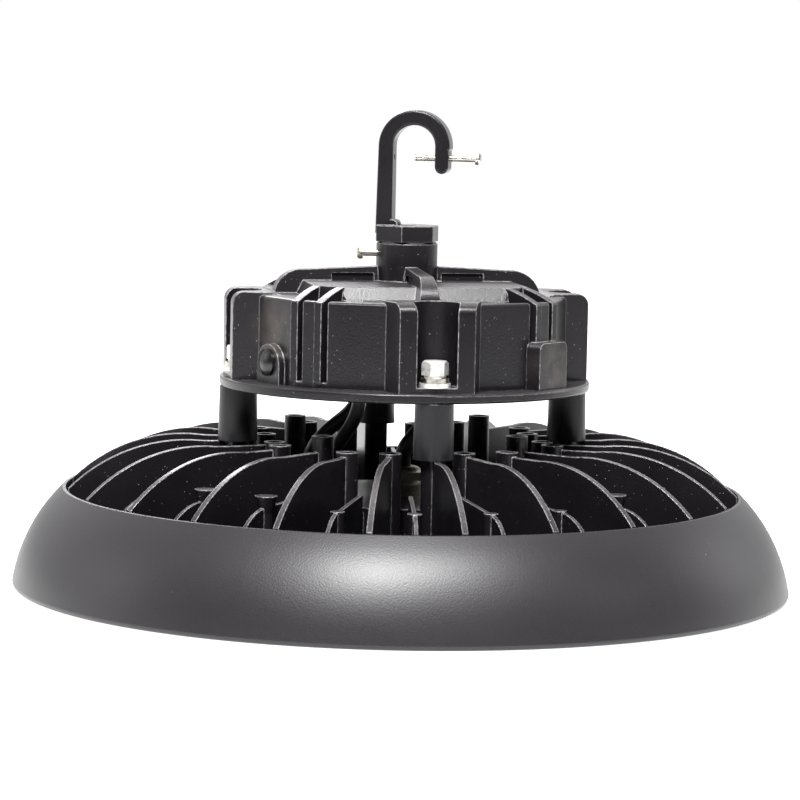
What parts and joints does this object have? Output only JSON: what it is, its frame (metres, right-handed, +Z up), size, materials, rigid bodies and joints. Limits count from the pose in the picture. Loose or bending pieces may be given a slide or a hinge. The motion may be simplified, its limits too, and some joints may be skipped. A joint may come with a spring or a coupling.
{
  "type": "high bay light",
  "caption": "Round high bay light: shade ring, finned heat sink, driver housing on four legs and a swivel hanging hook.",
  "frame": {"origin": "centre of the shade ring on the plane of its lower rim", "axes": "+Z up along the axis from the lens to the hook; the four legs lie on +X, -X, +Y and -Y; the leg on -Y is nearest the camera"},
  "size_m": [0.34, 0.34, 0.2081],
  "materials": {
    "casting_paint": "black powder coat with a fine speckle",
    "hook_paint": "black powder coat, slightly worn at the edges",
    "leg_paint": "smooth black paint",
    "ring_paint": "smooth satin charcoal paint",
    "screw_steel": "bright zinc",
    "bolt_zinc": "bright zinc",
    "bolt_black": "blackened steel",
    "gland_nickel": "dull nickel plate",
    "gland_plastic": "black nylon",
    "plug_rubber": "glossy black rubber",
    "seal_rubber": "dark soft rubber",
    "lead_jacket": "black cable jacket with a soft sheen",
    "lens_clear": "clear polycarbonate",
    "board_white": "white solder mask on aluminium",
    "chip_phosphor": "yellow phosphor",
    "board_green": "green circuit board",
    "winding_resin": "core and taped winding",
    "can_aluminium": "sleeved aluminium can"
  },
  "bodies": {
    "lamp": {"outer_ring": "ring_paint", "ring_screws": "screw_steel", "lens_retainer": "ring_paint", "retainer_screws": "screw_steel", "lens": "lens_clear", "lens_gasket": "seal_rubber", "led_board": "board_white", "board_screws": "screw_steel", "led_chips": "chip_phosphor", "heat_sink": "casting_paint", "driver_base_plate": "casting_paint", "base_screws": "screw_steel", "driver_housing": "casting_paint", "driver_gasket": "seal_rubber", "driver_board": "board_green", "transformer": "winding_resin", "capacitors": "can_aluminium", "rubber_plug": "plug_rubber", "driver_glands": "gland_plastic", "sink_grommets": "seal_rubber", "sink_gland_body": "gland_nickel", "sink_gland_nut": "gland_nickel", "hook_bolt": "bolt_black", "lock_screw": "screw_steel", "frame_bolts": "bolt_zinc", "flat_washers": "bolt_zinc", "spring_washers": "bolt_zinc", "lamp_lead": "lead_jacket", "lead_near": "lead_jacket", "lead_far": "lead_jacket", "lead_inner": "lead_jacket", "standoff_front": "leg_paint", "standoff_back": "leg_paint", "standoff_left": "leg_paint", "standoff_right": "leg_paint"},
    "hook": {"hook": "hook_paint", "gate_screw": "screw_steel"}
  },
  "joints": [
    {"name": "hook_swivel", "type": "hinge", "parent": "lamp", "child": "hook", "pos_m": [0, 0, 0.1546], "axis": [0, 0, 1], "continuous": true}
  ]
}
